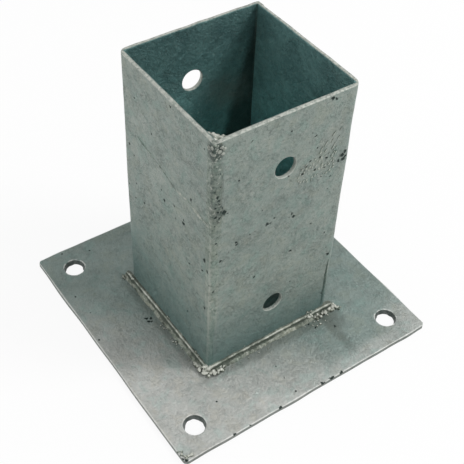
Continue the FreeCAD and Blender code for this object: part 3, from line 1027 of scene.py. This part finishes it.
def scatterZinc():
    for name, zinc in spatter.items():
        mesh = bpy.data.meshes.new(name + "Patch")
        middle, half = zinc["middle"], zinc["half"]
        corners = [((middle[0] + x * half[0]) * mm, (middle[1] + y * half[1]) * mm, 0)
                   for x, y in ((-1, -1), (1, -1), (1, 1), (-1, 1))]
        mesh.from_pydata(corners, [], [(0, 1, 2, 3)])
        gap = zinc["gap"] * mm
        long, wide, high = [c * mm for c in zinc["size"]]
        settings = {
            "Gap": gap, "Density": 4.0 / gap ** 2,
            "Long": long, "Wide": wide, "High": high,
            "Turn": zinc["turn"], "Turn spread": zinc["stray"], "Shade": zinc["shade"], "Seed": zinc["seed"],
            "Metal": finishes[zinc["finish"]],
        }
        baked = runTree(addObject(name + "Bench", mesh), scatterNodes, settings)
        baked.transform(zinc["on"])
        baked.name = name
        addPiece(name, finishMesh(baked), zinc["finish"])


plateLumps = {
    "balls": 7,         # at each spot
    "voxel": 0.18,
    "grainSize": 0.75,
    "grain": 0.17,
    "onCorner": 0.0,    # 1 where out of the walls counts, 0 where up counts
    "dark": 3.3,        # the painted shade brightens from here
    "bright": 4.9,      # to a painted highlight here
    "shade": 1.2,
    "finish": "weld",
}

# spots hold a place and a size, and stray is how far the balls lie from them
lumps = {
    "cornerLumps": dict(plateLumps, spots=[
        (31.5, -wallEdge - 2.6, 3.7, 0.7), (34, -wallEdge - 2.3, 4.0, 0.8),
        (36.3, -wallEdge - 2.2, 4.2, 0.85), (38.8, -wallEdge - 1.8, 4.2, 0.9),
        (wallEdge + 2.0, -37.6, 4.2, 0.9), (wallEdge + 2.6, -35, 4.0, 0.9),
        (wallEdge + 2.8, -32.2, 3.9, 0.8), (wallEdge + 2.4, -29.5, 3.9, 0.7), (37.9, -37.9, 6.0, 0.9),
    ], stray=(1.6, 1.6, 0.6), shade=1.25, seed=3),
    "farLumps": dict(plateLumps, spots=[
        (wallEdge + 2.0, 33.6, 4.2, 0.9), (wallEdge + 2.4, 38.5, 4.0, 0.9),
        (wallEdge + 3.4, 43.2, 3.5, 0.7), (wallEdge + 1.2, 41, 4.6, 0.8), (wallEdge + 1.4, 26, 5.6, 0.8),
        (wallEdge + 2.6, 29.5, 4.0, 0.8),
    ], stray=(1.5, 1.7, 0.6), seed=7),
    "forkLumps": dict(plateLumps, spots=[
        (-wallEdge - 2.6, -wallEdge - 4.0, 3.3, 0.6), (-wallEdge - 1.2, -wallEdge - 3.6, 3.4, 0.6),
        (-33.6, -wallEdge - 1.2, 6.4, 0.55),
    ], balls=4, stray=(1.2, 0.7, 0.4), grainSize=0.8, grain=0.06, dark=3.0, bright=4.4, shade=1.1, seed=11),
    "rimPlug": dict(plateLumps, spots=[
        (30.2, -35.1, 148.6, 1.0), (31.8, -34.4, 148.4, 1.2), (33.4, -33.4, 148.2, 1.3),
        (34.6, -32.2, 148.3, 1.15), (35.2, -31.2, 148.6, 0.9), (35.3, -35.2, 148.2, 1.5),
        (36.6, -36.4, 148.6, 1.0), (36.4, -34.0, 148.8, 0.8),
    ], balls=4, stray=(0.7, 0.7, 0.3), grainSize=1.0, grain=0.07, dark=148.4, bright=149.9,
        shade=1.15, seed=15),
    "rimBlob": dict(plateLumps, spots=[
        (36.6, -37.2, 147.2, 1.25), (37.2, -36.2, 148.2, 1.05), (37.2, -34.0, 147.2, 1.25),
        (37.2, -32.4, 145.4, 1.0), (36.6, -37.1, 144.2, 1.3), (37.2, -35.2, 144.8, 1.35),
        (37.2, -33.2, 143.2, 1.15), (37.0, -36.2, 142.0, 1.2), (37.2, -34.4, 140.9, 1.0),
        (34.6, -37.2, 146.0, 0.95),
    ], balls=2, stray=(0.25, 0.35, 0.4), voxel=0.17, grainSize=1.0, grain=0.10, onCorner=1.0,
        dark=wallEdge, bright=wallEdge + 0.26, shade=0.95, seed=19, finish="seam"),
    "plateCornerLumps": dict(plateLumps, spots=[
        (70.5, -73.2, 2.9, 0.8), (72, -72.2, 2.9, 0.8), (73.2, -70.6, 2.9, 0.7), (68.4, -73.8, 2.8, 0.6),
        (72.8, -73.2, 2.8, 0.8),
    ], balls=4, stray=(0.9, 0.9, 0.3), grainSize=0.8, grain=0.12, dark=2.9, bright=3.6, shade=1.1, seed=31),
    "seamLumps": dict(plateLumps, spots=[
        (37.1, -36.0, 131.5, 0.6), (37.1, -35.6, 120, 0.7), (37.1, -34.0, 112, 0.7),
        (37.2, -32.4, 109, 0.7), (37.1, -35.2, 107.5, 0.7),
    ], balls=4, stray=(0.3, 1.5, 1.3), voxel=0.17, grainSize=1.1, grain=0.06, onCorner=1.0,
        dark=wallEdge - 0.1, bright=wallEdge + 0.6, shade=0.8, seed=27, finish="seam"),
}


def laySpots(name, spots):
    mesh = bpy.data.meshes.new(name + "Spots")
    mesh.from_pydata([[c * mm for c in spot[:3]] for spot in spots], [], [])
    size = mesh.attributes.new("size", "FLOAT", "POINT")
    for item, spot in zip(size.data, spots):
        item.value = spot[3] * mm
    return addObject(name + "Bench", mesh)


def layLumps():
    for name, zinc in lumps.items():
        settings = {
            "Count": zinc["balls"], "Spread": [c * mm for c in zinc["stray"]], "Voxel": zinc["voxel"] * mm,
            "Grain size": zinc["grainSize"] * mm, "Grain height": zinc["grain"] * mm,
            "On corner": zinc["onCorner"], "From": zinc["dark"] * mm, "To": zinc["bright"] * mm,
            "Shade": zinc["shade"], "Seed": zinc["seed"], "Metal": finishes[zinc["finish"]],
        }
        mesh = runTree(laySpots(name, zinc["spots"]), lumpNodes, settings)
        for vertex in mesh.vertices:
            vertex.co.z = min(vertex.co.z, rimTop - 0.02 * mm)
        mesh.name = name
        addPiece(name, finishMesh(mesh), zinc["finish"])


# thin runs of zinc across a wall: along it, up it, size
# sections: across, out of the wall and painted shade; runSection has a painted highlight on one side and a
# painted shadow on the other, darkSection is dark all round
runSection = [(-1.0, -0.5, 0.5), (-0.85, 0.02, 0.8), (-0.3, 0.45, 0.9), (0.3, 0.4, 0.5), (0.7, 0.02, -0.4),
              (1.1, -0.5, -0.2)]
darkSection = [(-1.0, -0.5, 0.5), (-0.8, 0.1, 0.5), (-0.4, 0.42, 0.2), (0.1, 0.38, -0.4), (0.6, 0.1, -0.6),
               (0.8, -0.5, -0.4)]
zincRun = dict(footFront, section=darkSection, ripple=0.0, step=0.2, lumpSize=2.0, lump=0.10, grainSize=0.8,
               grain=0.06)
zincRuns = {
    "zincRunLeft": dict(zincRun, on=onFrontWall, route=[
        (-23, 111, 0.2), (-19, 110.0, 0.7), (-15.5, 109.4, 0.35), (-12, 108.8, 0.8), (-8, 108.3, 0.3),
        (-4, 107.4, 0.7), (0, 106.4, 0.95), (4, 105.2, 0.5), (7, 104.2, 0.9), (11, 103.6, 0.6),
    ], seed=41.0),
    # a painted shadow: a thin dark line where the right wall's bend begins
    "cornerLine": dict(zincRun, on=onRightWall, route=[
        (33.8, 43, 0.3), (33.5, 36, 0.8), (33.7, 24, 0.9), (33.5, 14, 0.8), (33.4, 9, 0.5),
    ], seed=47.0),
    "zincRunRight": dict(zincRun, on=onFrontWall, route=[
        (9.5, 103.8, 0.5), (13, 104, 1.2), (16, 104.2, 0.7), (18.5, 104.9, 1.2), (21, 104.6, 0.5),
        (24, 103.2, 1.15), (29, 102.7, 1.1), (33.5, 102.6, 0.7), (35.5, 102.3, 0.3),
    ], section=runSection, seed=43.0),
}


def layRuns():
    for name, run in zincRuns.items():
        layBead(name, run, run["on"], None, "seam")


buildWelds()
print("welds ready")
scatterZinc()
layLumps()
layRuns()
print("lumps, spatter and runs ready")


studio = {
    "floor": 3.0,           # half its width
    "floorColour": 0.86,
    "floorWhite": 0.9,      # share of plain white that the camera sees
    "world": 0.70,
    "lamps": [
        # place, size, watts
        ((0.55, 0.65, 0.95), 0.40, 8.0),
        ((-0.25, -1.25, 0.35), 0.9, 3.0),
    ],
}


def buildFloor():
    mesh = bpy.data.meshes.new("floor")
    half = studio["floor"]
    corners = [(-half, -half, 0), (half, -half, 0), (half, half, 0), (-half, half, 0)]
    mesh.from_pydata(corners, [], [(0, 1, 2, 3)])
    floor = addObject("floor", mesh)
    made = bpy.data.materials.new("paleFloor")
    made.use_nodes = True
    tree = made.node_tree
    tree.nodes.clear()
    matt = addNode(tree, "ShaderNodeBsdfDiffuse", {"Color": (*[studio["floorColour"]] * 3, 1)})
    white = addNode(tree, "ShaderNodeEmission", {"Color": (1, 1, 1, 1), "Strength": 1.0})
    path = addNode(tree, "ShaderNodeLightPath")
    seen = calc(tree, "MAXIMUM", path.outputs["Is Camera Ray"], path.outputs["Is Glossy Ray"])
    seen = calc(tree, "MAXIMUM", seen, path.outputs["Is Transmission Ray"])
    share = times(tree, seen, studio["floorWhite"])
    both = addNode(tree, "ShaderNodeMixShader", {0: share, 1: matt.outputs[0], 2: white.outputs[0]})
    addNode(tree, "ShaderNodeOutputMaterial", {"Surface": both.outputs[0]})
    mesh.materials.append(made)


def buildLights():
    world = bpy.data.worlds.new("studio")
    world.use_nodes = True
    world.node_tree.nodes["Background"].inputs["Color"].default_value = (1, 1, 1, 1)
    world.node_tree.nodes["Background"].inputs["Strength"].default_value = studio["world"]
    bpy.context.scene.world = world
    for index, (spot, size, watts) in enumerate(studio["lamps"]):
        light = bpy.data.lights.new("lamp" + str(index), "AREA")
        light.shape = "DISK"
        light.size = size
        light.energy = watts
        lamp = addObject("lamp" + str(index), light)
        lamp.location = spot
        lamp.rotation_euler = Vector(spot).to_track_quat("Z", "Y").to_euler()


camera = {
    "place": (0.2662, -0.1973, 0.3847),
    "turn": 53.307,     # round the post, in degrees
    "height": 45.373,   # above level
    "roll": 2.877,
    "lens": 72.91,
}


def buildCamera():
    lens = bpy.data.cameras.new("camera")
    lens.lens = camera["lens"]
    lens.sensor_width = 36.0
    lens.clip_start = 0.01
    made = addObject("camera", lens)
    turn = Matrix.Rotation(math.radians(camera["turn"]), 4, "Z")
    lean = Matrix.Rotation(math.radians(90 - camera["height"]), 4, "X")
    roll = Matrix.Rotation(math.radians(camera["roll"]), 4, "Z")
    made.matrix_world = Matrix.Translation(camera["place"]) @ turn @ lean @ roll
    bpy.context.scene.camera = made


buildFloor()
buildLights()
buildCamera()
bpy.context.scene.view_settings.view_transform = "Standard"
print("studio ready")
